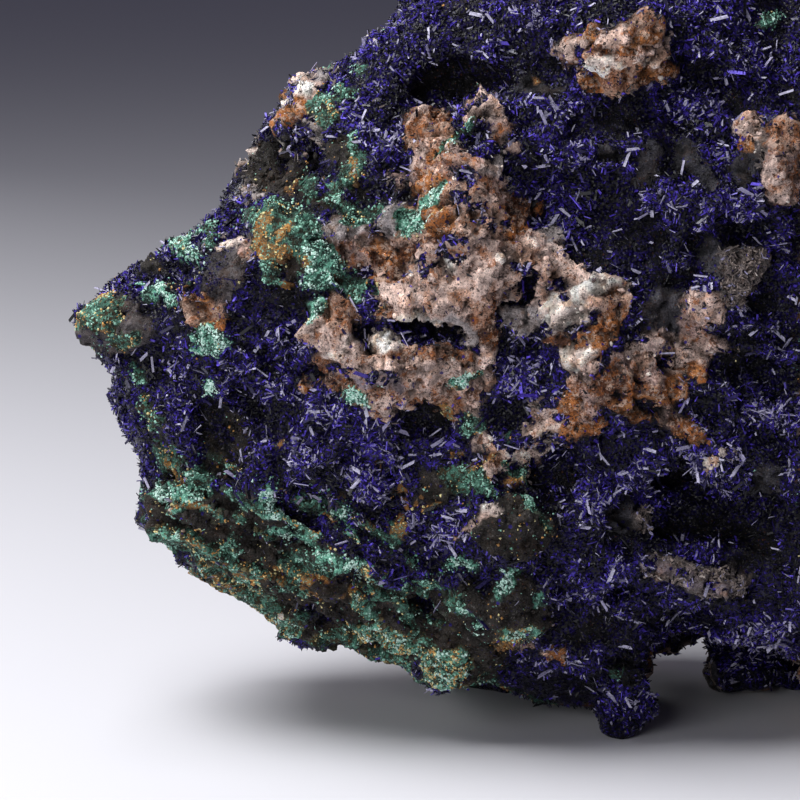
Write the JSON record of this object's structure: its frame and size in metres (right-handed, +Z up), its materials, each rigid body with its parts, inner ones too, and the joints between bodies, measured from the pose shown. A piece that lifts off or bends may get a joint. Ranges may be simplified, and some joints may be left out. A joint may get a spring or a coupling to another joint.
{
  "type": "azurite with malachite specimen",
  "caption": "Rugged block of pale quartz and brown limonite crusted with small blue azurite blades and green malachite, standing on its own worn feet.",
  "frame": {"origin": "centre of the footprint box, in the plane that the feet stand on", "axes": "+Z up, +X to the right along the specimen's length; the azurite face looks along -Y"},
  "size_m": [0.1862, 0.1014, 0.1552],
  "materials": {
    "azurite": "glassy crystal blades, near black in the depths and violet blue where light comes through, with pale glints",
    "malachite": "velvety to earthy crust of tiny balls, mint to deep green, with ochre patches",
    "matrix_rock": "dull to greasy quartz and earthy limonite, cream, grey, peach, orange-brown and charcoal"
  },
  "bodies": {
    "root": {"azurite_specimen": "azurite"}
  },
  "joints": []
}
